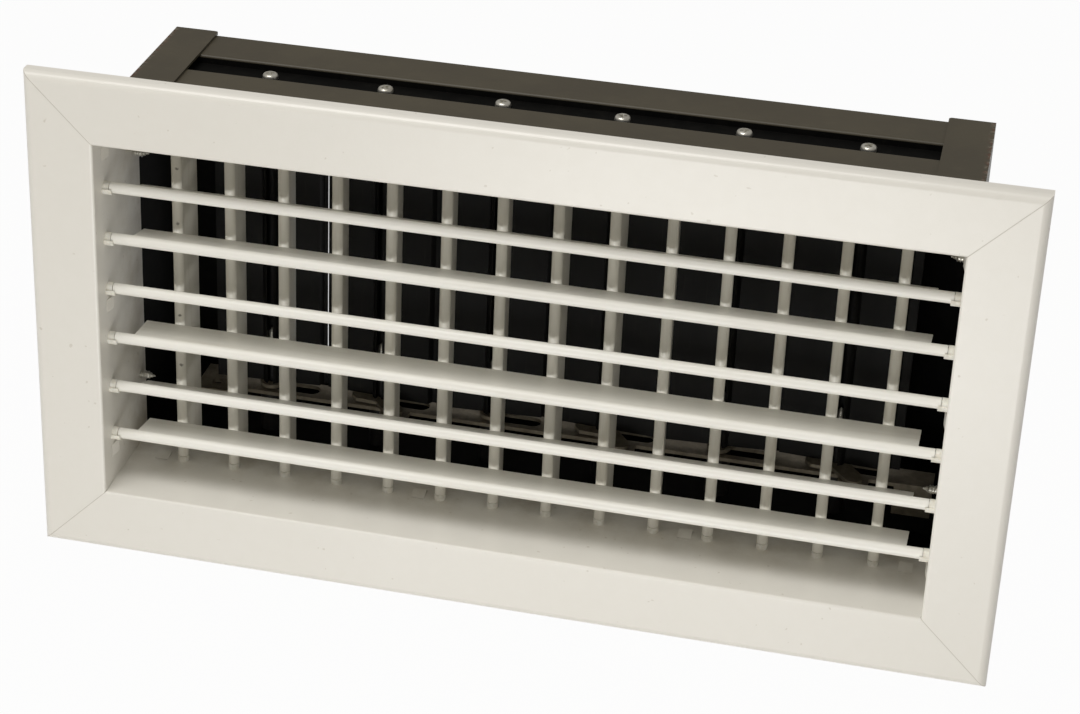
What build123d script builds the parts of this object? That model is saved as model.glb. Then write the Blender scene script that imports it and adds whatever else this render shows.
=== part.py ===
from build123d import *
import math
import os

# Double deflection supply grille with an opposed-blade damper, in millimetres.
# X runs across the face, Y from the room into the duct, and Z up. The origin is the centre of the
# opening, in the plane of the flange's seating edge.

# Face and neck
OPENING_W = 300.0
OPENING_H = 140.0
BORDER = 25.0
FLANGE_DEPTH = 6.0
NECK_DEPTH = 40.0
WALL = 1.2
FACE_EDGE_R = 3.0
THROAT_EDGE_R = 1.0
LIP_BEND_R = 1.8

# Corner keys and their grooves behind the face
KEY_W = 12.8
KEY_THICK = 1.5
KEY_LEG = 42.0
KEY_INSET = 5.0
KEY_FIT = 0.1
RIB = 1.0
HOOK = 1.2

# Pressed stops on the neck's inner faces, each in a gap of the row of blades beside it: a flap
# that rises toward the back, with a slit in front of it
STOP_W = 5.0
STOP_LENGTH = 5.0
STOP_RISE = 0.9
STOP_SLIT = 0.35
STOP_SLIT_DEPTH = 0.6
FLOOR_STOP_GAPS = (0, 5, 10, 14)
FLOOR_STOP_SHIFT = 1.7
FLOOR_STOP_Y = 22.7
SIDE_STOP_GAPS = (1, 4, 7)
SIDE_STOP_RAISE = 13.0
SIDE_STOP_Y = 2.5

# Blades of both rows, with the tilt of each as it stands, in degrees
FRONT_COUNT = 6
FRONT_AXIS_Y = 4.5
FRONT_TAIL = 16.5
FRONT_CUTBACK = 6.0
FRONT_TILT = (-19.0, -11.5, -23.0, -3.0, -20.0, -7.5)
REAR_COUNT = 14
REAR_AXIS_Y = 24.5
REAR_TAIL = 14.0
REAR_CUTBACK = 2.5
REAR_SWING = (-10.0, -3.0, 1.0, 1.0, 0.5, 0.0, 0.0, -6.0, -7.0, 0.0, 1.0, 0.0, 0.0, 0.5)
NOSE_R = 2.0
NOSE_BORE_R = 1.1
TAIL_ROOT = 1.6
TAIL_TIP = 0.9
TAIL_TIP_R = 0.3

# Nylon bushes
BUSH_COLLAR_R = 2.1
BUSH_COLLAR = 2.2
BUSH_SHANK_R = 1.6
BUSH_STUB = 2.8
BUSH_HEAD_R = 2.4
BUSH_HEAD = 0.8
BUSH_RUN = 0.05
BLADE_END_GAP = 0.2
CRADLE_GAP = 0.25
CRADLE = 0.5
CRADLE_REACH = 1.2

# Damper casing
CASING_SHEET = 1.2
CASING_GAP = 1.1
WEB_GAP = 0.9
RECESS_DEPTH = 3.2
RECESS_W = 14.0
NECK_SLIP = 0.4
FOLD_R = 1.1
TOP_BACK_LEG = 8.5
LINKAGE_SCREEN = 22.5
CAP_SHEET = 1.0
CAP_SLIP = 0.2
CAP_WING = 16.5
CAP_CORNER_R = 1.2
BLANK_COVER = 1.5

# Damper blades
DAMPER_COUNT = 6
BLANKED_ENDS = 39.0
ROW_OFFSET = 2.0
DAMPER_SHEET = 1.0
EDGE_GAP = 0.5
LAP = 2.05
LIP_W = 3.8
JOG = 2.2
JOG_RUN = 1.2
FIRST_LIP_TRIM = 1.95
BOSS_R = 3.25
BOSS_SLOT = 2.2
REST_OPEN = 3.5
FULL_OPEN = 84.0
TAIL_SWEEP_GAP = 0.5
BACK_GAP = 4.0
BLADE_TOP_GAP = 0.5
LINKAGE_ROOM = 18.0

# Linkage
CRANK_THICK = 1.5
CRANK_ARM = 12.0
HUB_R = 4.5
PAD_R = 3.6
WING_W = 11.0
WING_DEPTH = 9.0
WING_SHIFT = -0.5
WING_CHAMFER = 2.6
STUD_R = 1.5
STUD_LENGTH = 4.0
ARM_SHARE = 0.93
LINK_GAP = 0.5
BAR_THICK = 1.5
BAR_FRONT = 6.0
BAR_BEHIND = 5.0
BAR_EDGE = 1.8
STUD_PLAY = 0.4
BAR_LEFT = 28.0
END_PLATE_W = 14.0
END_PLATE_DROP = 10.0
END_EAR_W = 3.5
END_EAR = 9.0
END_HOLE_R = 2.1
END_HOLE_FLAT = 1.2
END_HOLE_Y = 3.8
BAR_RIGHT = 36.2
TURN_DOWN = 11.5
TURN_DOWN_W = 14.0
TURN_HOLE_R = 1.8
SLEEVE_R = 4.5
SLEEVE_NECK_R = 3.0
SLEEVE_PLAY = 0.3
WASHER_R = 4.0
THRUST_GAP = 0.1

# Screws
PIVOT_R = 1.45
PIVOT_RUN = 0.08
PIVOT_HEAD_R = 2.9
PIVOT_HEAD = 2.3
HEAD_ROUND = 0.9
UPPER_GRIP = 13.5
LOWER_GRIP = 23.0
FIX_R = 1.6
FIX_HEAD_R = 3.4
FIX_HEAD = 2.2
FIX_INSIDE = 6.0
FIX_POINT = 2.5
FIX_Z = (-41.5, 50.5)
FIX_Y = 6.5
FIX_CLEAR = 0.2
RECESS_ARM = 3.4
RECESS_BLADE = 0.8
RECESS_CUT = 1.3

# Derived places
half_w = OPENING_W / 2
half_h = OPENING_H / 2
face_back = -FLANGE_DEPTH + WALL
front_pitch = OPENING_H / (FRONT_COUNT + 1)
rear_pitch = OPENING_W / (REAR_COUNT + 1)
neck_out_w = half_w + WALL
neck_out_h = half_h + WALL
front_half = half_w - BUSH_COLLAR - BLADE_END_GAP
rear_half = half_h - BUSH_COLLAR - BLADE_END_GAP

damper_pitch = (OPENING_W - BLANKED_ENDS) / DAMPER_COUNT
plate_edge = damper_pitch / 2 - EDGE_GAP
lip_tip = damper_pitch / 2 - EDGE_GAP + LAP
blade_reach = math.hypot(lip_tip, JOG + DAMPER_SHEET / 2)
pivot_y = REAR_AXIS_Y + REAR_TAIL + TAIL_SWEEP_GAP + blade_reach
casing_front = REAR_AXIS_Y + BUSH_HEAD_R + CASING_GAP
casing_back = pivot_y + blade_reach + BACK_GAP
web_in = neck_out_h + WEB_GAP
web_out = web_in + CASING_SHEET
band_out = web_out + RECESS_DEPTH
band_in = band_out - CASING_SHEET
casing_half = neck_out_w
cap_in = casing_half + CAP_SLIP
cap_out = cap_in + CAP_SHEET

blade_top = half_h - BLADE_TOP_GAP
blade_foot = -half_h + LINKAGE_ROOM
crank_foot = blade_foot - CRANK_THICK
bar_top = crank_foot - LINK_GAP
bar_foot = bar_top - BAR_THICK
mid_open = FULL_OPEN / 2
bar_gain = CRANK_ARM * ARM_SHARE
bar_rest = bar_gain * math.radians(mid_open - REST_OPEN)
bar_travel = bar_gain * math.radians(FULL_OPEN)


def pivot_x(number):
    """X of a damper blade's pivot, counted from 1 at the left."""
    return ROW_OFFSET + (number - (DAMPER_COUNT + 1) / 2) * damper_pitch


def turn_sign(number):
    """Neighbouring damper blades open opposite ways: 1 is anticlockwise seen from above."""
    return 1 if number % 2 else -1


def block(x, y, z):
    """A box between two values along each axis."""
    size = (x[1] - x[0], y[1] - y[0], z[1] - z[0])
    return Pos((x[0] + x[1]) / 2, (y[0] + y[1]) / 2, (z[0] + z[1]) / 2) * Box(*size)


def rod_z(x, y, z, radius):
    return Pos(x, y, (z[0] + z[1]) / 2) * Cylinder(radius, z[1] - z[0])


def rod_x(x, y, z, radius):
    return Pos((x[0] + x[1]) / 2, y, z) * Rot(Y=90) * Cylinder(radius, x[1] - x[0])


def outline(points, plane, depth):
    """A closed straight-sided outline, extruded from its plane."""
    return extrude(plane * make_face(Polyline(*points, close=True)), depth)


def near(shape_vertices, place):
    """The vertices of a section at a given place in its plane."""
    return [v for v in shape_vertices if math.dist((v.X, v.Y), place) < 1e-4]


def rounded(section, places_and_radii):
    for place, radius in places_and_radii:
        section = fillet(near(section.vertices(), place), radius)
    return section


# Grille frame


def frame_section(half):
    """Section of one frame bar as (Y, distance from the middle of the opening)."""
    outer = half + BORDER
    points = [
        (-FLANGE_DEPTH, half),
        (-FLANGE_DEPTH, outer),
        (0, outer),
        (0, outer - WALL),
        (face_back, outer - WALL),
        (face_back, half + WALL),
        (NECK_DEPTH, half + WALL),
        (NECK_DEPTH, half),
    ]
    section = make_face(Polyline(*points, close=True))
    rounding = [((-FLANGE_DEPTH, half), THROAT_EDGE_R), ((-FLANGE_DEPTH, outer), FACE_EDGE_R)]
    rounding.append(((face_back, outer - WALL), LIP_BEND_R))
    section = rounded(section, rounding)
    groove = (half + KEY_INSET + RIB, half + KEY_INSET + RIB + KEY_W + 2 * KEY_FIT)
    hook_front = face_back + KEY_THICK + KEY_FIT
    hook_back = hook_front + RIB
    for edge, inward in ((groove[0], 1), (groove[1], -1)):
        rib = (edge - inward * RIB, edge)
        hook = (edge - inward * RIB, edge + inward * HOOK)
        section += flat_rect((face_back, hook_back), sorted(rib))
        section += flat_rect((hook_front, hook_back), sorted(hook))
    return section


def flat_rect(a, b):
    return Pos((a[0] + a[1]) / 2, (b[0] + b[1]) / 2) * Rectangle(a[1] - a[0], b[1] - b[0])


def frame_bar(half, half_across, stops, stop_y):
    """A bar above the opening, mitred at both ends, with its pressed stops."""
    bar = extrude(Plane.YZ * frame_section(half), half_across + BORDER, both=True)
    mitre = [
        (-half_across, half),
        (half_across, half),
        (half_across + BORDER, half + BORDER),
        (-half_across - BORDER, half + BORDER),
    ]
    bar &= outline(mitre, Plane.XZ.offset(-NECK_DEPTH), FLANGE_DEPTH + NECK_DEPTH)
    for place in stops:
        start = Plane.YZ.offset(place - STOP_W / 2)
        stop_end = stop_y + STOP_LENGTH
        ramp = [(stop_y, half), (stop_end, half), (stop_end, half - STOP_RISE)]
        bar += outline(ramp, start, STOP_W)
        slit_foot = half + STOP_SLIT_DEPTH
        slit = [(stop_y - STOP_SLIT, half), (stop_y, half), (stop_y, slit_foot), (stop_y - STOP_SLIT, slit_foot)]
        bar -= outline(slit, start, STOP_W)
    return bar


def side_holes(bar, side):
    """Bores for the front bushes and the damper's fixing screws, in a side bar's neck."""
    span = sorted((side * (half_w - STOP_RISE), side * (neck_out_w + WALL)))
    for number in range(1, FRONT_COUNT + 1):
        bar -= rod_x(span, FRONT_AXIS_Y, front_z(number), BUSH_SHANK_R)
    for z in FIX_Z:
        bar -= rod_x(span, casing_front + FIX_Y, z, FIX_R)
    return bar


def level_holes(bar, side):
    """Bores for the rear bushes in the neck's top or bottom wall."""
    span = sorted((side * (half_h - STOP_RISE), side * (neck_out_h + WALL)))
    for number in range(1, REAR_COUNT + 1):
        bar -= rod_z(rear_x(number), REAR_AXIS_Y, span, BUSH_SHANK_R)
    return bar


def corner_keys():
    """Four flat angles that join the mitred bars behind the face."""
    low = KEY_INSET + RIB + KEY_FIT
    across = (half_w + low, half_w + low + KEY_W)
    along = (half_h + low, half_h + low + KEY_W)
    depth = (face_back, face_back + KEY_THICK)
    key = block((across[1] - KEY_LEG, across[1]), depth, along)
    key += block(across, depth, (along[1] - KEY_LEG, along[1]))
    right = [key, mirror(key, about=Plane.XY)]
    return Compound(right + [mirror(one, about=Plane.YZ) for one in right])


# Blades of the grille


def front_z(number):
    """Height of a front blade, counted from 1 at the top."""
    return ((FRONT_COUNT + 1) / 2 - number) * front_pitch


def rear_x(number):
    """X of a rear blade, counted from 1 at the left."""
    return (number - (REAR_COUNT + 1) / 2) * rear_pitch


def nosed_blade(half_length, tail, cutback):
    """An extruded blade along X: a hollow round nose on the axis and a thinning tail behind it."""
    nose = Plane.YZ * Circle(NOSE_R)
    points = [(0, TAIL_ROOT / 2), (tail, TAIL_TIP / 2), (tail, -TAIL_TIP / 2), (0, -TAIL_ROOT / 2)]
    flat = make_face(Polyline(*points, close=True))
    flat = rounded(flat, [((tail, TAIL_TIP / 2), TAIL_TIP_R), ((tail, -TAIL_TIP / 2), TAIL_TIP_R)])
    blade = extrude(nose, half_length, both=True)
    blade += extrude(Plane.YZ * flat, half_length - cutback, both=True)
    return blade - rod_x((-half_length, half_length), 0, 0, NOSE_BORE_R)


def front_blade(number):
    blade = nosed_blade(front_half, FRONT_TAIL, FRONT_CUTBACK)
    return Pos(0, FRONT_AXIS_Y, front_z(number)) * Rot(X=FRONT_TILT[number - 1]) * blade


def rear_blade(number):
    blade = Rot(Y=90) * nosed_blade(rear_half, REAR_TAIL, REAR_CUTBACK)
    return Pos(rear_x(number), REAR_AXIS_Y, 0) * Rot(Z=REAR_SWING[number - 1]) * blade


def bush(wall, cradle):
    """A bush along X for a wall whose inner face is at the given X: collar, stub and riveted end."""
    inner = wall - BUSH_COLLAR
    part = rod_x((inner, wall), 0, 0, BUSH_COLLAR_R)
    part += rod_x((inner - BUSH_STUB, inner), 0, 0, NOSE_BORE_R - BUSH_RUN)
    part += rod_x((wall, wall + WALL), 0, 0, BUSH_SHANK_R)
    part += rod_x((wall + WALL, wall + WALL + BUSH_HEAD), 0, 0, BUSH_HEAD_R)
    if cradle:
        hollow_r = NOSE_R + CRADLE_GAP
        outer_r = hollow_r + CRADLE
        lip = rod_x((inner - CRADLE_REACH, wall), 0, 0, outer_r)
        lip -= rod_x((inner - CRADLE_REACH, inner), 0, 0, hollow_r)
        part += lip & block((inner - CRADLE_REACH, wall), (-outer_r, 0), (-outer_r, 0))
    return part


def front_bushes(side):
    right = [Pos(0, FRONT_AXIS_Y, front_z(n)) * bush(half_w, True) for n in range(1, FRONT_COUNT + 1)]
    if side > 0:
        return Compound(right)
    return Compound([mirror(one, about=Plane.YZ) for one in right])


def rear_bushes(side):
    upright = Rot(Y=-90) * bush(half_h, False)
    upper = [Pos(rear_x(n), REAR_AXIS_Y, 0) * upright for n in range(1, REAR_COUNT + 1)]
    if side > 0:
        return Compound(upper)
    return Compound([mirror(one, about=Plane.XY) for one in upper])


# Damper casing


def channel(back_leg):
    """A long casing channel of folded sheet, above the neck, with a sunk track for the pivots."""
    recess = (pivot_y - RECESS_W / 2, pivot_y + RECESS_W / 2)
    leg_foot = neck_out_h + NECK_SLIP
    points = [
        (casing_front, leg_foot),
        (casing_front, band_out),
        (recess[0], band_out),
        (recess[0], web_out),
        (recess[1], web_out),
        (recess[1], band_out),
        (casing_back, band_out),
        (casing_back, band_out - back_leg),
        (casing_back - CASING_SHEET, band_out - back_leg),
        (casing_back - CASING_SHEET, band_in),
        (recess[1] + CASING_SHEET, band_in),
        (recess[1] + CASING_SHEET, web_in),
        (recess[0] - CASING_SHEET, web_in),
        (recess[0] - CASING_SHEET, band_in),
        (casing_front + CASING_SHEET, band_in),
        (casing_front + CASING_SHEET, leg_foot),
    ]
    section = make_face(Polyline(*points, close=True))
    folds = [points[1], points[2], points[5], points[6]]
    section = rounded(section, [(place, FOLD_R) for place in folds])
    part = extrude(Plane.YZ * section, casing_half, both=True)
    for number in range(1, DAMPER_COUNT + 1):
        part -= rod_z(pivot_x(number), pivot_y, (web_in, web_out), PIVOT_R + PIVOT_RUN)
    return part


def damper_cap(side):
    """End cap: a side plate, two wings over the channels and a blank behind the outer blade's end."""
    plate = block((cap_in, cap_out), (casing_front, casing_back + CAP_SHEET), (-band_out, band_out))
    wing_in = cap_out - CAP_WING
    span = (casing_front, casing_back + CAP_SHEET)
    wing = block((wing_in, cap_out), span, (band_out, band_out + CAP_SHEET))
    corners = wing.edges().filter_by(Axis.Z).group_by(Axis.X)[0]
    wing = fillet(corners, CAP_CORNER_R)
    end_blade = pivot_x(DAMPER_COUNT) + lip_tip if side > 0 else -pivot_x(1) + plate_edge
    blank = (end_blade - BLANK_COVER, cap_in)
    part = plate + wing + mirror(wing, about=Plane.XY)
    part += block(blank, (casing_back, casing_back + CAP_SHEET), (-web_out, web_out))
    for z in FIX_Z:
        part -= rod_x((cap_in, cap_out), casing_front + FIX_Y, z, FIX_R + FIX_CLEAR)
    return part if side > 0 else mirror(part, about=Plane.YZ)


def cross_recess(top):
    """The cross that a driver fits, sunk into a head whose top is at the given Z."""
    depth = (top - RECESS_CUT, top)
    one = block((-RECESS_ARM / 2, RECESS_ARM / 2), (-RECESS_BLADE / 2, RECESS_BLADE / 2), depth)
    return one + Rot(Z=90) * one


def pan_screw(shank_r, grip, head_r, head, point):
    """A pan-head screw that hangs from Z 0: the head above, the shank and its point below."""
    cap = rod_z(0, 0, (0, head), head_r)
    cap = fillet(cap.edges().group_by(Axis.Z)[-1], HEAD_ROUND)
    cap -= cross_recess(head)
    shank = rod_z(0, 0, (-grip + point, 0), shank_r)
    tip = Pos(0, 0, -grip + point / 2) * Cone(shank_r / 4, shank_r, point)
    return cap + shank + tip


def fixing_screws():
    """Four screws that hold the casing on the neck."""
    grip = cap_out - half_w + FIX_INSIDE
    screw = pan_screw(FIX_R, grip, FIX_HEAD_R, FIX_HEAD, FIX_POINT)
    right = []
    for z in FIX_Z:
        right.append(Pos(cap_out, casing_front + FIX_Y, z) * Rot(Y=90) * screw)
    return Compound(right + [mirror(one, about=Plane.YZ) for one in right])


def bearing_sleeves():
    """Nylon sleeves that carry the blades above the bottom channel."""
    sleeves = []
    for number in range(1, DAMPER_COUNT + 1):
        x = pivot_x(number)
        sleeve = rod_z(x, pivot_y, (-web_in, bar_foot - LINK_GAP), SLEEVE_R)
        sleeve += rod_z(x, pivot_y, (bar_foot - LINK_GAP, crank_foot - THRUST_GAP), SLEEVE_NECK_R)
        sleeves.append(sleeve - rod_z(x, pivot_y, (-web_in, crank_foot), PIVOT_R + PIVOT_RUN))
    return Compound(sleeves)


def bearing_washers():
    """Nylon washers between the blades and the top channel."""
    washers = []
    for number in range(1, DAMPER_COUNT + 1):
        washer = rod_z(pivot_x(number), pivot_y, (blade_top + THRUST_GAP, web_in), WASHER_R)
        bore = rod_z(pivot_x(number), pivot_y, (blade_top, web_in), PIVOT_R + PIVOT_RUN)
        washers.append(washer - bore)
    return Compound(washers)


# Damper blades and linkage, each drawn closed with its pivot on the Z axis


def damper_section(number):
    """Plate with a jogged lip along its right edge and a slotted screw boss in the middle."""
    tip = lip_tip - FIRST_LIP_TRIM if number == 1 else lip_tip
    half = DAMPER_SHEET / 2
    jog_end = lip_tip - LIP_W
    jog_start = jog_end - JOG_RUN
    points = [
        (-plate_edge, -half),
        (jog_start + half, -half),
        (jog_end + half, JOG - half),
        (tip, JOG - half),
        (tip, JOG + half),
        (jog_end - half, JOG + half),
        (jog_start - half, half),
        (-plate_edge, half),
    ]
    section = make_face(Polyline(*points, close=True)) + Circle(BOSS_R)
    section -= Circle(PIVOT_R)
    return section - flat_rect((-BOSS_SLOT / 2, BOSS_SLOT / 2), (-BOSS_R, 0))


def place_damper(number, part):
    turn = Rot(Z=turn_sign(number) * REST_OPEN)
    return Pos(pivot_x(number), pivot_y, 0) * turn * part


def damper_blade(number):
    section = Plane.XY.offset(blade_foot) * damper_section(number)
    return place_damper(number, extrude(section, blade_top - blade_foot))


def crank(number):
    """Crank plate under a blade: hub, arm and stud, with a wing that stiffens the front cranks."""
    lean = math.radians(mid_open)
    stud_x = CRANK_ARM * math.sin(lean)
    stud_y = turn_sign(number) * CRANK_ARM * math.cos(lean)
    slant = math.degrees(math.atan2(stud_y, stud_x))
    shape = Circle(HUB_R) + Pos(stud_x, stud_y) * Circle(PAD_R)
    shape += Rot(Z=slant) * flat_rect((0, CRANK_ARM), (-PAD_R, PAD_R))
    if turn_sign(number) < 0:
        wing = flat_rect((-WING_W, 0), (WING_SHIFT - WING_DEPTH / 2, WING_SHIFT + WING_DEPTH / 2))
        shape += chamfer(wing.vertices().group_by(Axis.X)[0], WING_CHAMFER)
    part = extrude(Plane.XY.offset(crank_foot) * shape, CRANK_THICK)
    part += rod_z(stud_x, stud_y, (crank_foot - STUD_LENGTH, crank_foot), STUD_R)
    part -= rod_z(0, 0, (crank_foot, blade_foot), PIVOT_R)
    return place_damper(number, part)


def pivot_screws(number):
    """The upper and the lower screw that a blade turns on."""
    upper_grip = web_out - blade_top + UPPER_GRIP
    lower_grip = web_out + blade_foot + LOWER_GRIP
    upper = Pos(0, 0, web_out) * pan_screw(PIVOT_R, upper_grip, PIVOT_HEAD_R, PIVOT_HEAD, PIVOT_R)
    lower = pan_screw(PIVOT_R, lower_grip, PIVOT_HEAD_R, PIVOT_HEAD, PIVOT_R)
    lower = Pos(0, 0, -web_out) * Rot(X=180) * lower
    return place_damper(number, Compound([upper, lower]))


def gang_bar():
    """Slotted bar that ties the cranks: a spine, a pad at each stud and an end bent down."""
    left = pivot_x(1) - BAR_LEFT
    right = pivot_x(DAMPER_COUNT) + BAR_RIGHT
    shape = flat_rect((left, right), (pivot_y - BAR_FRONT, pivot_y + BAR_BEHIND))
    near_y = CRANK_ARM * math.cos(math.radians(mid_open))
    slot_w = 2 * (STUD_R + STUD_PLAY)
    pad_end = CRANK_ARM + STUD_R + STUD_PLAY + BAR_EDGE
    pad_w = slot_w + 4 * BAR_EDGE
    for number in range(1, DAMPER_COUNT + 1):
        x = pivot_x(number) + bar_rest
        side = turn_sign(number)
        pad = flat_rect((x - pad_w / 2, x + pad_w / 2), sorted((pivot_y, pivot_y + side * pad_end)))
        shape += pad
    shape += flat_rect((left, left + END_PLATE_W), (pivot_y - END_PLATE_DROP, pivot_y))
    shape += flat_rect((left, left + END_EAR_W), (pivot_y, pivot_y + END_EAR))
    hole = Circle(END_HOLE_R) & flat_rect((-END_HOLE_R, END_HOLE_R), (-END_HOLE_FLAT, END_HOLE_R))
    shape -= Pos(left + END_PLATE_W / 2, pivot_y - END_HOLE_Y) * hole
    neck_slot = 2 * (SLEEVE_NECK_R + SLEEVE_PLAY)
    for number in range(1, DAMPER_COUNT + 1):
        x = pivot_x(number) + bar_rest
        side = turn_sign(number)
        shape -= Pos(x, pivot_y) * SlotOverall(bar_travel + neck_slot + 2 * SLEEVE_PLAY, neck_slot)
        stud_mid = side * (near_y + CRANK_ARM) / 2
        stud_slot = CRANK_ARM - near_y + slot_w
        shape -= Pos(x, pivot_y + stud_mid) * SlotOverall(stud_slot, slot_w, rotation=90)
    bar = extrude(Plane.XY.offset(bar_foot) * shape, BAR_THICK)
    fold = (pivot_y - BAR_FRONT, pivot_y - BAR_FRONT + BAR_THICK)
    tab_left = right - TURN_DOWN_W
    tab = block((tab_left, right), fold, (bar_foot - TURN_DOWN, bar_foot))
    tab_hole_z = bar_foot - TURN_DOWN / 2
    drill = Pos(tab_left + 2 * TURN_HOLE_R, (fold[0] + fold[1]) / 2, tab_hole_z) * Rot(X=90)
    return bar + (tab - drill * Cylinder(TURN_HOLE_R, 2 * BAR_THICK))


# Everything, one file for each piece

floor_stops = [rear_x(gap) + rear_pitch / 2 + FLOOR_STOP_SHIFT for gap in FLOOR_STOP_GAPS]
side_stops = [-front_z(gap) - SIDE_STOP_RAISE for gap in SIDE_STOP_GAPS]
top = frame_bar(half_h, half_w, floor_stops, FLOOR_STOP_Y)
side_bar = Rot(Y=90) * frame_bar(half_w, half_h, side_stops, SIDE_STOP_Y)

pieces = {
    "frame_top": level_holes(top, 1),
    "frame_bottom": level_holes(mirror(top, about=Plane.XY), -1),
    "frame_right": side_holes(side_bar, 1),
    "frame_left": side_holes(mirror(side_bar, about=Plane.YZ), -1),
    "corner_keys": corner_keys(),
    "front_bushes_left": front_bushes(-1),
    "front_bushes_right": front_bushes(1),
    "rear_bushes_top": rear_bushes(1),
    "rear_bushes_bottom": rear_bushes(-1),
    "damper_channel_top": channel(TOP_BACK_LEG),
    "damper_channel_bottom": mirror(channel(LINKAGE_SCREEN), about=Plane.XY),
    "damper_cap_left": damper_cap(-1),
    "damper_cap_right": damper_cap(1),
    "fixing_screws": fixing_screws(),
    "bearing_sleeves": bearing_sleeves(),
    "bearing_washers": bearing_washers(),
    "gang_bar": gang_bar(),
}
for number in range(1, FRONT_COUNT + 1):
    pieces[f"front_blade_{number}"] = front_blade(number)
for number in range(1, REAR_COUNT + 1):
    pieces[f"rear_blade_{number}"] = rear_blade(number)
for number in range(1, DAMPER_COUNT + 1):
    pieces[f"damper_blade_{number}"] = damper_blade(number)
    pieces[f"crank_{number}"] = crank(number)
    pieces[f"pivot_screws_{number}"] = pivot_screws(number)

os.makedirs("parts", exist_ok=True)
for name, piece in pieces.items():
    export_step(piece, f"parts/{name}.step")
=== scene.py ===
import math

import bmesh
import bpy
from mathutils import Matrix, Vector


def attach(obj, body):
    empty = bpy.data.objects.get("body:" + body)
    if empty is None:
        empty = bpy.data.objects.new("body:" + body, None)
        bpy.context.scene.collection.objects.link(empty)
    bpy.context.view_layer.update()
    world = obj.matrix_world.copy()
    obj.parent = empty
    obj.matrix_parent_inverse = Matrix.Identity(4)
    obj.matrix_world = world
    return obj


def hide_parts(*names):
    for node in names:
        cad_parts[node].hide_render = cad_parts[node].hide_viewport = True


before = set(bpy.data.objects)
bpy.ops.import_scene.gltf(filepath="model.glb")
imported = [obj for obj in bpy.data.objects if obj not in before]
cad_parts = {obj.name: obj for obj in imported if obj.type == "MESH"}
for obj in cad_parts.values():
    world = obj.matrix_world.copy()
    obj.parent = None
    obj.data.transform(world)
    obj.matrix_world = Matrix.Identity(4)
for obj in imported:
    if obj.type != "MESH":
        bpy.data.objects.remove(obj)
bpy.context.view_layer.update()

# Everything is in metres, in the CAD frame: X across the face, Y from the room into the duct and
# Z up, with the origin in the middle of the opening at the plane of the flange's seating edge.


# Frame bars
# Four lengths of extruded aluminium with a flat face, a returned edge and a deep neck. They are
# mitred at the corners, joined from behind, and powder coated off-white together.


class Link:
    """One output of a material's nodes, which takes part in ordinary arithmetic."""

    def __init__(self, finish, socket):
        self.finish, self.socket = finish, socket

    def reckon(self, operation, *values):
        return self.finish.node("Math", {"operation": operation}, dict(enumerate(values)))

    def __add__(self, other):
        return self.reckon("ADD", self, other)

    def __sub__(self, other):
        return self.reckon("SUBTRACT", self, other)

    def __rsub__(self, other):
        return self.reckon("SUBTRACT", other, self)

    def __mul__(self, other):
        return self.reckon("MULTIPLY", self, other)

    def __pow__(self, other):
        return self.reckon("POWER", self, other)

    def __abs__(self):
        return self.reckon("ABSOLUTE", self)

    __radd__ = __add__
    __rmul__ = __mul__

    def larger(self, other):
        return self.reckon("MAXIMUM", self, other)

    def rise(self, low, high):
        """0 below the low value and 1 above the high one, with a soft change between."""
        settings = {"interpolation_type": "SMOOTHSTEP"}
        sockets = {"Value": self, "From Min": low, "From Max": high}
        return self.finish.node("MapRange", settings, sockets)


class Finish:
    """A material, or the world, being put together from its nodes."""

    def __init__(self, name, world=None):
        self.material = world or bpy.data.materials.new(name)
        self.material.use_nodes = True
        self.tree = self.material.node_tree
        self.tree.nodes.clear()

    def node(self, kind, settings=None, sockets=None, out=0):
        """Adds one node: its settings first, then the value or the link of each socket."""
        made = self.tree.nodes.new("ShaderNode" + kind)
        for name, value in (settings or {}).items():
            setattr(made, name, value)
        for name, value in (sockets or {}).items():
            if isinstance(value, Link):
                self.tree.links.new(value.socket, made.inputs[name])
            else:
                made.inputs[name].default_value = value
        return Link(self, made.outputs[out] if len(made.outputs) else None)

    def place(self):
        """Where a point is in the piece's own space, which is the CAD frame at rest."""
        return self.node("TexCoord", out=3)

    def along(self, place):
        """The place's X, Y and Z as three values."""
        split = self.node("SeparateXYZ", {}, {0: place})
        outputs = split.socket.node.outputs
        return [Link(self, outputs[i]) for i in range(3)]

    def stretched(self, place, factors):
        """The place drawn out along an axis, for streaks."""
        settings = {"operation": "MULTIPLY"}
        return self.node("VectorMath", settings, {0: place, 1: factors})

    def grain(self, place, size, detail=2.0, roughness=0.5):
        """Soft noise whose features measure about the given size."""
        sockets = {"Vector": place, "Scale": 1 / size, "Detail": detail, "Roughness": roughness}
        return self.node("TexNoise", {}, sockets)

    def blend(self, mask, first, second):
        """The first colour where the mask is 0 and the second where it is 1."""
        return self.node("Mix", {"data_type": "RGBA"}, {0: mask, 6: first, 7: second}, 2)

    def bump(self, height, depth, strength=1.0):
        """A normal from a height map whose full range stands for the given depth."""
        sockets = {"Height": height, "Distance": depth, "Strength": strength}
        return self.node("Bump", {}, sockets)

    def shader(self, **sockets):
        """The shader, with the underscores in its sockets' names for spaces."""
        named = {name.replace("_", " "): value for name, value in sockets.items()}
        return self.node("BsdfPrincipled", {}, named)

    def shaded(self, **sockets):
        """Closes the material with its shader and gives it back."""
        return self.closed(self.shader(**sockets))

    def closed(self, shader):
        self.node("OutputMaterial", {}, {"Surface": shader})
        return self.material


def tone(red, green, blue):
    """A colour as light, from its 0-255 values on a screen."""
    def light(value):
        value /= 255
        return value / 12.92 if value <= 0.04045 else ((value + 0.055) / 1.055) ** 2.4
    return (light(red), light(green), light(blue), 1.0)


def dress(names, material):
    """Gives CAD pieces their finish."""
    for name in names:
        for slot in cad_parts[name].material_slots:
            slot.material = material


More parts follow.
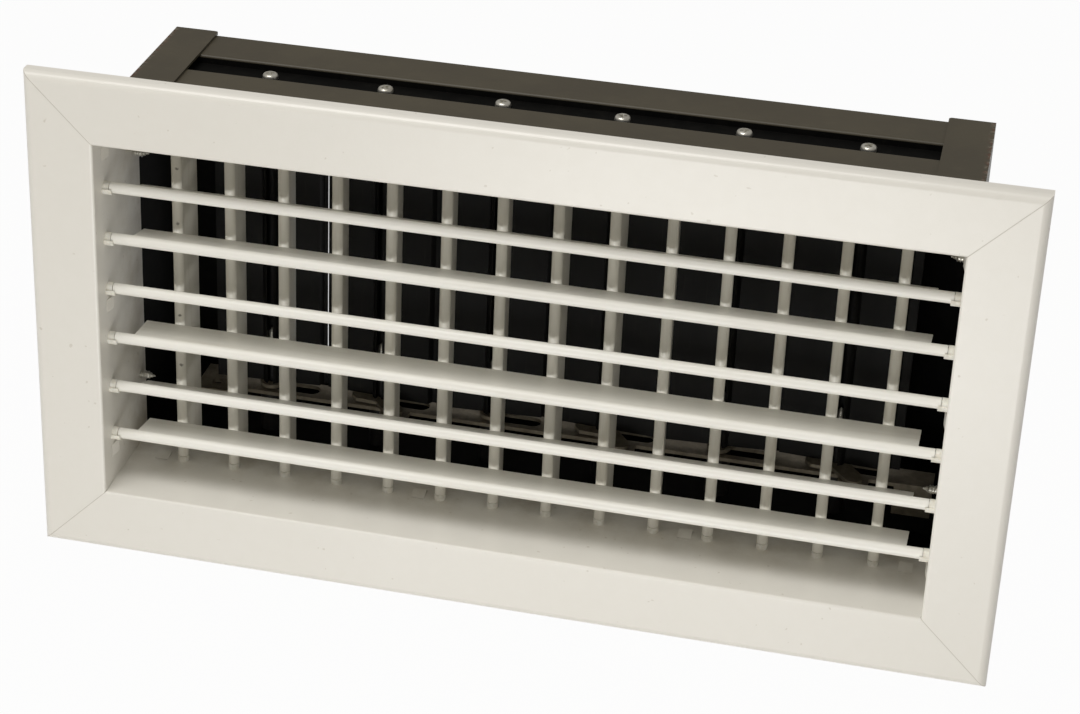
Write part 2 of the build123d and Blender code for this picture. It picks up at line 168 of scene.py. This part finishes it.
HALF_W = 0.150
HALF_H = 0.070
FACE_DEPTH = (-0.0045, -0.004)
MITRE_LINE = (0.00008, 0.00028)
NECK_RUN = (0.002, 0.036)

coat = Finish("frame_powder_coat")
spot = coat.place()
x, y, z = coat.along(spot)
cloud = coat.grain(spot, 0.120, 1.0)
mottle = coat.grain(spot, 0.004, 3.0, 0.6)
colour = coat.blend(cloud, tone(234, 231, 223), tone(240, 238, 232))
colour = coat.blend(mottle * 0.12, colour, tone(214, 208, 194))
specks = coat.grain(spot, 0.0028, 1.0).rise(0.74, 0.78)
colour = coat.blend(specks * 0.35, colour, tone(186, 178, 160))
# The joint lines of the mitres
across = abs(abs(x) - HALF_W - (abs(z) - HALF_H))
joint = (1 - across.rise(*MITRE_LINE)) * (1 - y.rise(*FACE_DEPTH))
colour = coat.blend(joint * 0.45, colour, tone(150, 140, 122))
# Dust that settles inside the neck
grime = coat.grain(spot, 0.022, 4.0, 0.65)
deep = y.rise(*NECK_RUN)
colour = coat.blend(deep * grime.rise(0.35, 0.75) * 0.55, colour, tone(176, 164, 140))
peel = coat.grain(spot, 0.0011, 2.0)
pits = coat.grain(spot, 0.00045, 2.0)
normal = coat.bump(peel * 0.7 + pits * 0.3 - joint * 1.5, 0.00006, 0.55)
dress(
    ["frame_top", "frame_bottom", "frame_left", "frame_right"],
    coat.shaded(
        Base_Color=colour,
        Roughness=0.26 + mottle * 0.06 + grime * deep * 0.2,
        Normal=normal,
        Specular_IOR_Level=0.5,
    ),
)


# Corner keys
# Flat aluminium angles, sheared and left bare, slid into the grooves behind the face at each
# corner to hold the mitres shut.

keys = Finish("sheared_aluminium")
spot = keys.place()
rolled = keys.grain(keys.stretched(spot, (0.12, 1.0, 1.0)), 0.0006, 3.0)
stain = keys.grain(spot, 0.012, 4.0)
colour = keys.blend(rolled, tone(176, 176, 174), tone(205, 205, 202))
colour = keys.blend(stain.rise(0.5, 0.8) * 0.5, colour, tone(140, 138, 132))
dress(
    ["corner_keys"],
    keys.shaded(
        Base_Color=colour,
        Metallic=0.9,
        Roughness=0.34 + stain * 0.22,
        Normal=keys.bump(rolled, 0.00003, 0.4),
    ),
)


# Bushes of both rows
# Small moulded bushes of natural white nylon, snapped through the neck and flared outside it. The
# front ones have a lip that cradles the blade's nose.

nylon = Finish("natural_nylon")
spot = nylon.place()
flow = nylon.grain(spot, 0.0015, 3.0)
colour = nylon.blend(flow.rise(0.35, 0.7), tone(226, 223, 212), tone(242, 240, 232))
scuffed = nylon.grain(spot, 0.0005, 2.0)
dress(
    ["front_bushes_left", "front_bushes_right", "rear_bushes_top", "rear_bushes_bottom"],
    nylon.shaded(
        Base_Color=colour,
        Roughness=0.42 + scuffed * 0.18,
        Normal=nylon.bump(flow + scuffed * 0.4, 0.00003, 0.5),
        Subsurface_Weight=0.15,
        Subsurface_Radius=(0.002, 0.0016, 0.0012),
        Subsurface_Scale=0.3,
    ),
)


# Front blades
# Six extruded aluminium blades that lie level: a round hollow nose that faces the room and a thin
# tail behind it, cut back at both ends. Powder coated like the frame; their whiter tone is a
# painted highlight for the row that catches the light.


def blade_coat(name, run, pale, warm, dust, dust_share):
    """Powder coat over an extrusion whose faint die lines follow the run."""
    skin = Finish(name)
    spot = skin.place()
    lines = skin.grain(skin.stretched(spot, run), 0.0007, 2.0)
    cloud = skin.grain(spot, 0.050, 1.0)
    colour = skin.blend(cloud, pale, warm)
    settled = skin.grain(skin.stretched(spot, run), 0.004, 4.0, 0.65)
    colour = skin.blend(settled.rise(0.48, 0.80) * dust_share, colour, dust)
    peel = skin.grain(spot, 0.0009, 2.0)
    rough = 0.22 + cloud * 0.08 + settled * 0.10
    return skin, colour, rough, skin.bump(peel * 0.6 + lines * 0.4, 0.00005, 0.5)


# The whiter tones are a painted highlight: the front row is lit brighter than the frame
skin, colour, rough, normal = blade_coat(
    "front_blade_powder_coat",
    (0.06, 1.0, 1.0), tone(246, 245, 239), tone(241, 239, 231), tone(214, 208, 194), 0.35,
)
dress(
    [f"front_blade_{number}" for number in range(1, 7)],
    skin.shaded(Base_Color=colour, Roughness=rough, Normal=normal, Specular_IOR_Level=0.45),
)


# Rear blades
# Fourteen shorter blades of the same make that stand upright behind the front row, a little
# greyer: painted shade of the deeper row, as well as duct dust. The first one's nose is scuffed
# where the front blades' tails rub it.

SCUFF_Z = (0.0517, 0.0299, -0.0074, -0.0282)
SCUFF_X = -0.1294
SCUFF_EDGE = (0.0007, 0.0014)
SCUFF_BACK = (0.0232, 0.0240)

# The greyer tones are painted shade for the deeper row; the settled noise is duct dust
skin, colour, rough, normal = blade_coat(
    "rear_blade_powder_coat",
    (1.0, 1.0, 0.06), tone(240, 238, 230), tone(233, 230, 219), tone(196, 187, 166), 0.5,
)
spot = skin.place()
x, y, z = skin.along(spot)
ragged = skin.grain(spot, 0.0008, 3.0)
rub = None
for height in SCUFF_Z:
    away = ((x - SCUFF_X) ** 2 + (z - height) ** 2) ** 0.5
    mark = 1 - (away + ragged * 0.0011).rise(*SCUFF_EDGE)
    rub = mark if rub is None else rub.larger(mark)
rub = rub * (1 - y.rise(*SCUFF_BACK))
colour = skin.blend(rub * 0.75, colour, tone(92, 86, 74))
dress(
    [f"rear_blade_{number}" for number in range(1, 15)],
    skin.shaded(Base_Color=colour, Roughness=rough, Normal=normal, Specular_IOR_Level=0.4),
)


# Damper casing
# Two long channels and two end caps of folded steel sheet, stove enamelled brown-black. The
# channels have a sunk track for the pivot screws; handling has scraped the caps' corners.

CASING_FRONT = 0.028
BAND_TOP = 0.0765
CAP_OUT = 0.1524
CAP_IN = 0.1514
CASING_BACK = 0.0899
FOLD_HEIGHT = (0.0002, 0.0009)
FOLD_DEPTH = (0.0002, 0.0011)
CORNER_WIDTH = (0.0004, 0.0022)
CORNER_HEIGHT = (0.0758, 0.0770)

enamel = Finish("stove_enamel")
spot = enamel.place()
x, y, z = enamel.along(spot)
sheen = enamel.grain(spot, 0.030, 3.0)
brushed = enamel.grain(enamel.stretched(spot, (0.08, 1.0, 1.0)), 0.0011, 3.0)
dust = enamel.grain(spot, 0.007, 5.0, 0.7)
colour = enamel.blend(sheen.rise(0.35, 0.70), tone(66, 60, 46), tone(73, 67, 52))
up = enamel.node("NewGeometry", out=1)
facing = enamel.along(up)[2]
upward = facing.rise(0.3, 0.9)
colour = enamel.blend(upward * dust.rise(0.45, 0.85) * 0.2, colour, tone(104, 97, 80))
# Paint worn thin along the folds, and chips with a rusty rim at the caps' corners
fold = 1 - abs(abs(z) - BAND_TOP).rise(*FOLD_HEIGHT)
front_fold = fold * (1 - abs(y - CASING_FRONT).rise(*FOLD_DEPTH))
worn = front_fold * enamel.grain(spot, 0.0035, 4.0, 0.7).rise(0.48, 0.66)
colour = enamel.blend(worn * 0.6, colour, tone(148, 138, 118))
corner = (1 - (CAP_OUT - abs(x)).rise(*CORNER_WIDTH)) * abs(z).rise(*CORNER_HEIGHT)
chip = corner * enamel.grain(spot, 0.0022, 4.0, 0.75).rise(0.52, 0.62)
rust = corner * enamel.grain(spot, 0.0030, 4.0, 0.75).rise(0.45, 0.65)
colour = enamel.blend(rust * 0.75, colour, tone(96, 52, 36))
colour = enamel.blend(chip * 0.7, colour, tone(150, 140, 126))
height = brushed * 0.3 + enamel.grain(spot, 0.0012, 2.0) * 0.7 - (chip + worn) * 0.8
satin = enamel.shader(
    Base_Color=colour,
    Metallic=chip * 0.6 + worn * 0.3,
    Roughness=0.40 + sheen * 0.10 + dust * upward * 0.12,
    Normal=enamel.bump(height, 0.00004, 0.5),
    Specular_IOR_Level=0.5,
)
# The inside and the sunk track are painted near black and dull: painted shade for the deep track
# and the casing's dark inside
painted_shade_coat = enamel.shader(
    Base_Color=enamel.blend(dust.rise(0.40, 0.80), tone(9, 9, 8), tone(20, 19, 17)),
    Roughness=0.75,
    Specular_IOR_Level=0.08,
)
behind_front = y.rise(CASING_FRONT + 0.0010, CASING_FRONT + 0.0013)
before_back = 1 - y.rise(CASING_BACK + 0.0001, CASING_BACK + 0.0003)
between_bands = 1 - abs(z).rise(BAND_TOP - 0.0011, BAND_TOP - 0.0008)
between_caps = 1 - abs(x).rise(CAP_IN + 0.0001, CAP_IN + 0.0003)
shaded_inside = behind_front * before_back * between_bands * between_caps
dress(
    ["damper_channel_top", "damper_channel_bottom", "damper_cap_left", "damper_cap_right"],
    enamel.closed(enamel.node("MixShader", {}, {0: shaded_inside, 1: satin, 2: painted_shade_coat})),
)


# Damper bearings
# Black nylon: stepped sleeves under the blades, which also guide the gang bar, and plain washers
# above them.

bearing = Finish("black_nylon")
spot = bearing.place()
flow = bearing.grain(spot, 0.0014, 3.0)
rubbed = bearing.grain(bearing.stretched(spot, (1.0, 1.0, 5.0)), 0.0016, 3.0)
colour = bearing.blend(rubbed.rise(0.5, 0.8), tone(26, 25, 24), tone(58, 55, 50))
dress(
    ["bearing_sleeves", "bearing_washers"],
    bearing.shaded(
        Base_Color=colour,
        Roughness=0.38 + rubbed * 0.2,
        Normal=bearing.bump(flow, 0.00003, 0.5),
    ),
)


# Damper blades
# Six upright aluminium blades with a jogged lip that laps the next one and a slotted boss for the
# pivot screws. Sprayed matt black inside the casing, so the grille reads dark behind.

matt = Finish("matt_black_spray")
spot = matt.place()
streak = matt.grain(matt.stretched(spot, (1.0, 1.0, 0.05)), 0.0009, 3.0)
veil = matt.grain(spot, 0.014, 4.0, 0.6)
colour = matt.blend(veil.rise(0.40, 0.75), tone(11, 11, 10), tone(20, 19, 17))
colour = matt.blend(streak.rise(0.62, 0.80) * 0.3, colour, tone(44, 41, 36))
dress(
    [f"damper_blade_{number}" for number in range(1, 7)],
    matt.shaded(
        Base_Color=colour,
        Roughness=0.50 + veil * 0.18,
        Normal=matt.bump(matt.grain(spot, 0.0008, 2.0) + streak * 0.4, 0.00004, 0.5),
        Specular_IOR_Level=0.2,
    ),
)


# Linkage
# Six stamped cranks under the blades and the slotted gang bar that ties them, in dull zinc-plated
# steel, coloured much darker than the screws' zinc as painted shade inside the casing. Every second
# crank has a six-sided wing.

plated = Finish("dull_zinc_darkened_as_shade")
spot = plated.place()
spangle = plated.grain(spot, 0.0035, 3.0, 0.6)
drawn = plated.grain(plated.stretched(spot, (0.15, 1.0, 1.0)), 0.0006, 3.0)
# These zinc tones are darkened as painted shade
colour = plated.blend(spangle.rise(0.35, 0.70), tone(116, 108, 93), tone(134, 127, 111))
bloom = plated.grain(spot, 0.009, 4.0, 0.65)
colour = plated.blend(bloom.rise(0.50, 0.78) * 0.6, colour, tone(84, 74, 60))
dress(
    ["gang_bar"] + [f"crank_{number}" for number in range(1, 7)],
    plated.shaded(
        Base_Color=colour,
        Metallic=0.4,
        Roughness=0.42 + bloom * 0.2,
        Normal=plated.bump(drawn, 0.00003, 0.5),
    ),
)


# Screws
# Pan-head screws of steel with bright zinc plating and a cross recess: an upper and a lower one
# on which each damper blade turns, and four that fix the casing through the neck.

SHEET_OUT = 0.0733
BLADE_TOP = 0.0695
BLADE_FOOT = -0.052
PIVOT_Y = 0.062456
PIVOT_COUNT = 6
PIVOT_PITCH = 0.0435
PIVOT_MIDDLE = 0.002
PIVOT_R = 0.00145
SCREW_STEPS = 28
SHARP = math.radians(38)
# The band of the lower screws that is painted dark as painted shade
SHADE_FOOT = (-0.0722, -0.0712)
SHADE_TOP = (-0.0372, -0.0356)
SHADE_SIDE = (0.130, 0.132)


def screw_mesh(name, radius, grip, head_radius, head, point, pitch):
    """A screw that hangs from Z 0: a domed head above, and a rolled thread that ends in a point."""
    steps, form = SCREW_STEPS, bmesh.new()
    rings = []

    def ring(heights_and_radii):
        rings.append([
            form.verts.new((r * math.cos(a), r * math.sin(a), h))
            for a, (h, r) in zip(angles, heights_and_radii)
        ])

    angles = [2 * math.pi * i / steps for i in range(steps)]
    dome = [
        (1.0, 0.30), (1.0, 0.55), (0.97, 0.72), (0.86, 0.88),
        (0.66, 0.97), (0.42, 1.0), (0.10, 1.0), (0.0, 0.97),
    ]
    for height, share in dome:
        ring([(head * height, head_radius * share)] * steps)
    root = radius * 0.80
    ring([(-0.00002, root)] * steps)
    turns = int((grip - 0.0006) / pitch)
    profile = [(0.0, root), (0.34, root), (0.50, radius), (0.62, radius), (0.86, root)]
    last = -grip
    for turn in range(turns):
        for share, r in profile:
            if turn == 0 and share == 0.0:
                continue
            levels = []
            for a in angles:
                h = -0.0003 - pitch * (turn + share + a / (2 * math.pi))
                taper = min(1.0, max(0.22, (h - last) / point))
                levels.append((max(h, last + 0.0001), r * taper))
            ring(levels)
    for upper, lower in zip(rings, rings[1:]):
        for i in range(steps):
            j = (i + 1) % steps
            form.faces.new((upper[i], lower[i], lower[j], upper[j]))
    crown = form.verts.new((0, 0, head))
    tip = form.verts.new((0, 0, last))
    for i in range(steps):
        j = (i + 1) % steps
        form.faces.new((crown, rings[0][i], rings[0][j]))
        form.faces.new((tip, rings[-1][j], rings[-1][i]))
    bmesh.ops.recalc_face_normals(form, faces=form.faces)
    made = bpy.data.meshes.new(name)
    form.to_mesh(made)
    form.free()
    return made


def cross_cutter(head):
    """The tapered cross that the driver leaves in a head."""
    form = bmesh.new()
    loops = []
    for height, arm, half in ((head + 0.0004, 0.00185, 0.00050), (head - 0.0013, 0.00105, 0.00030)):
        quarter = [(half, half), (half, arm), (-half, arm)]
        outline = []
        for turn in range(4):
            c, s = math.cos(turn * math.pi / 2), math.sin(turn * math.pi / 2)
            outline += [(c * a - s * b, s * a + c * b) for a, b in quarter]
        loops.append([form.verts.new((a, b, height)) for a, b in outline])
    count = len(loops[0])
    for i in range(count):
        j = (i + 1) % count
        form.faces.new((loops[0][i], loops[0][j], loops[1][j], loops[1][i]))
    form.faces.new(loops[0])
    form.faces.new(loops[1])
    bmesh.ops.recalc_face_normals(form, faces=form.faces)
    made = bpy.data.meshes.new("cross")
    form.to_mesh(made)
    form.free()
    return made


def recessed(made, head):
    """The screw's mesh with the cross cut out of its head, smooth apart from its edges."""
    body = bpy.data.objects.new("screw_blank", made)
    cutter = bpy.data.objects.new("screw_cutter", cross_cutter(head))
    for one in (body, cutter):
        bpy.context.scene.collection.objects.link(one)
    cut = body.modifiers.new("cross", "BOOLEAN")
    cut.operation, cut.object, cut.solver = "DIFFERENCE", cutter, "EXACT"
    bpy.context.view_layer.update()
    evaluated = body.evaluated_get(bpy.context.evaluated_depsgraph_get())
    result = bpy.data.meshes.new_from_object(evaluated)
    for one in (body, cutter):
        bpy.data.objects.remove(one)
    result.shade_smooth()
    result.set_sharp_from_angle(angle=SHARP)
    return result


def placed(made, matrix):
    """A copy of a mesh in its place, as (points, faces)."""
    points = [matrix @ v.co for v in made.vertices]
    return points, [tuple(f.vertices) for f in made.polygons]


def joined(name, parts, material):
    """One object of several placed meshes."""
    points, faces = [], []
    for some_points, some_faces in parts:
        start = len(points)
        points += some_points
        faces += [tuple(start + i for i in face) for face in some_faces]
    made = bpy.data.meshes.new(name)
    made.from_pydata(points, [], faces)
    made.materials.append(material)
    made.shade_smooth()
    made.set_sharp_from_angle(angle=SHARP)
    piece = bpy.data.objects.new(name, made)
    bpy.context.scene.collection.objects.link(piece)
    return piece


zinc = Finish("bright_zinc")
spot = zinc.place()
x, _, z = zinc.along(spot)
brush = zinc.grain(spot, 0.0010, 4.0, 0.6)
tarnish = zinc.grain(spot, 0.0040, 3.0)
colour = zinc.blend(brush.rise(0.35, 0.70), tone(205, 203, 194), tone(228, 226, 218))
colour = zinc.blend(tarnish.rise(0.50, 0.80) * 0.6, colour, tone(150, 142, 124))
# Painted shade: near black and less metallic where the lower screws stand in the dark inside of the
# casing
shaded_shank = z.rise(*SHADE_FOOT) * (1 - z.rise(*SHADE_TOP)) * (1 - abs(x).rise(*SHADE_SIDE))
colour = zinc.blend(shaded_shank, colour, tone(22, 21, 19))
bright = zinc.shaded(
    Base_Color=colour,
    Metallic=0.9 - shaded_shank * 0.8,
    Roughness=0.26 + tarnish * 0.22 + shaded_shank * 0.15,
    Normal=zinc.bump(brush, 0.00002, 0.5),
)

PIVOT_HEAD = 0.0023
PIVOT_HEAD_R = 0.0029
PIVOT_POINT = 0.0015
PIVOT_THREAD = 0.0007
UPPER_GRIP = SHEET_OUT - BLADE_TOP + 0.0135
LOWER_GRIP = SHEET_OUT + BLADE_FOOT + 0.023


def pivot_screw(name, grip):
    """A pivot screw of the given length under its head."""
    blank = screw_mesh(name, PIVOT_R, grip, PIVOT_HEAD_R, PIVOT_HEAD, PIVOT_POINT, PIVOT_THREAD)
    return recessed(blank, PIVOT_HEAD)


upper = pivot_screw("upper", UPPER_GRIP)
lower = pivot_screw("lower", LOWER_GRIP)
for number in range(1, PIVOT_COUNT + 1):
    pivot_x = PIVOT_MIDDLE + (number - (PIVOT_COUNT + 1) / 2) * PIVOT_PITCH
    # Each head stopped turning at another angle
    lean = math.radians(21 * number + 4)
    above = Matrix.Translation((pivot_x, PIVOT_Y, SHEET_OUT)) @ Matrix.Rotation(lean, 4, "Z")
    below = Matrix.Translation((pivot_x, PIVOT_Y, -SHEET_OUT)) @ Matrix.Rotation(math.pi, 4, "X")
    screws = joined(
        f"pivot_screw_pair_{number}",
        [placed(upper, above), placed(lower, below @ Matrix.Rotation(lean * 1.7, 4, "Z"))],
        bright,
    )
    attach(screws, f"damper_{number}")
    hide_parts(f"pivot_screws_{number}")

FIX_R = 0.0016
FIX_HEAD = 0.0022
FIX_HEAD_R = 0.0034
FIX_POINT = 0.0025
FIX_THREAD = 0.0011
FIX_GRIP = CAP_OUT - HALF_W + 0.006
FIX_Y = CASING_FRONT + 0.0065
FIX_Z = (0.0505, -0.0415)
fixing = recessed(
    screw_mesh("fixing", FIX_R, FIX_GRIP, FIX_HEAD_R, FIX_HEAD, FIX_POINT, FIX_THREAD),
    FIX_HEAD,
)
parts = []
for side in (1, -1):
    for height in FIX_Z:
        turn = Matrix.Rotation(side * math.pi / 2, 4, "Y") @ Matrix.Rotation(height * 19, 4, "Z")
        seat = Matrix.Translation((side * CAP_OUT, FIX_Y, height))
        parts.append(placed(fixing, seat @ turn))
casing_screws = joined("casing_screws", parts, bright)
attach(casing_screws, "frame")
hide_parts("fixing_screws")


# Floor and light
# A wide pale floor well below the grille, which hangs as it does in its opening. One soft studio
# lamp is above it and a little in front, and a weaker one in front of it and below.

FLOOR_Z = -0.42
FLOOR_HALF = 9.0
FLOOR_WHITE = 0.96
AIR_LEVEL = 0.34

form = bmesh.new()
bmesh.ops.create_grid(form, x_segments=8, y_segments=8, size=FLOOR_HALF)
ground = bpy.data.meshes.new("floor")
form.to_mesh(ground)
form.free()
floor = bpy.data.objects.new("floor", ground)
floor.location = (0, 0, FLOOR_Z)
bpy.context.scene.collection.objects.link(floor)

pale = Finish("pale_floor")
rays = pale.node("LightPath").socket.node.outputs
seen = Link(pale, rays["Is Camera Ray"])
for name in ("Is Glossy Ray", "Is Transmission Ray"):
    seen = seen.larger(Link(pale, rays[name]))
plain = pale.node("BsdfDiffuse", {}, {"Color": tone(240, 238, 234)})
white = pale.node("Emission", {}, {"Color": (1, 1, 1, 1), "Strength": 1.0})
mixed = pale.node("MixShader", {}, {0: seen * FLOOR_WHITE, 1: plain, 2: white})
ground.materials.append(pale.closed(mixed))

sky = bpy.data.worlds.new("studio")
bpy.context.scene.world = sky
backdrop = Finish("backdrop", sky)
rays = backdrop.node("LightPath").socket.node.outputs
seen = Link(backdrop, rays["Is Camera Ray"])
level = seen * (1 - AIR_LEVEL) + AIR_LEVEL
tint = backdrop.blend(seen, (1.0, 0.965, 0.91, 1), (1, 1, 1, 1))
air = backdrop.node("Background", {}, {"Color": tint, "Strength": level})
backdrop.node("OutputWorld", {}, {"Surface": air})


def lamp(name, place, target, size, power, colour):
    """A square soft lamp that faces a point."""
    data = bpy.data.lights.new(name, "AREA")
    data.shape, data.size, data.energy, data.color = "SQUARE", size, power, colour
    one = bpy.data.objects.new(name, data)
    one.location = place
    one.rotation_euler = (Vector(target) - Vector(place)).to_track_quat("-Z", "Y").to_euler()
    one.visible_camera = False
    bpy.context.scene.collection.objects.link(one)


lamp(
    "key", place=(-0.3, -0.45, 1.3), target=(0, 0, 0), size=0.7, power=10,
    colour=(1.0, 0.985, 0.955),
)
lamp(
    "low_front", place=(0.0, -0.7, -0.38), target=(0, 0, -0.02), size=0.4, power=3.2,
    colour=(1.0, 0.995, 0.98),
)


# Camera
# A long lens from the front right and above, with a slight roll and a small shift.

SENSOR_WIDTH = 36
LENS = 89.756
SHIFT = (0.08538, -0.05556)
CAMERA_PLACE = (0.16809, -0.80514, 0.4537)
CAMERA_TILT = 62.7223
CAMERA_ROLL = -1.3827
CAMERA_PAN = 14.0825

camera_data = bpy.data.cameras.new("camera")
camera_data.sensor_width = SENSOR_WIDTH
camera_data.lens = LENS
camera_data.shift_x, camera_data.shift_y = SHIFT
camera = bpy.data.objects.new("camera", camera_data)
camera.location = CAMERA_PLACE
camera.rotation_euler = [math.radians(angle) for angle in (CAMERA_TILT, CAMERA_ROLL, CAMERA_PAN)]
bpy.context.scene.collection.objects.link(camera)
bpy.context.scene.camera = camera

bpy.context.scene.view_settings.view_transform = "Standard"
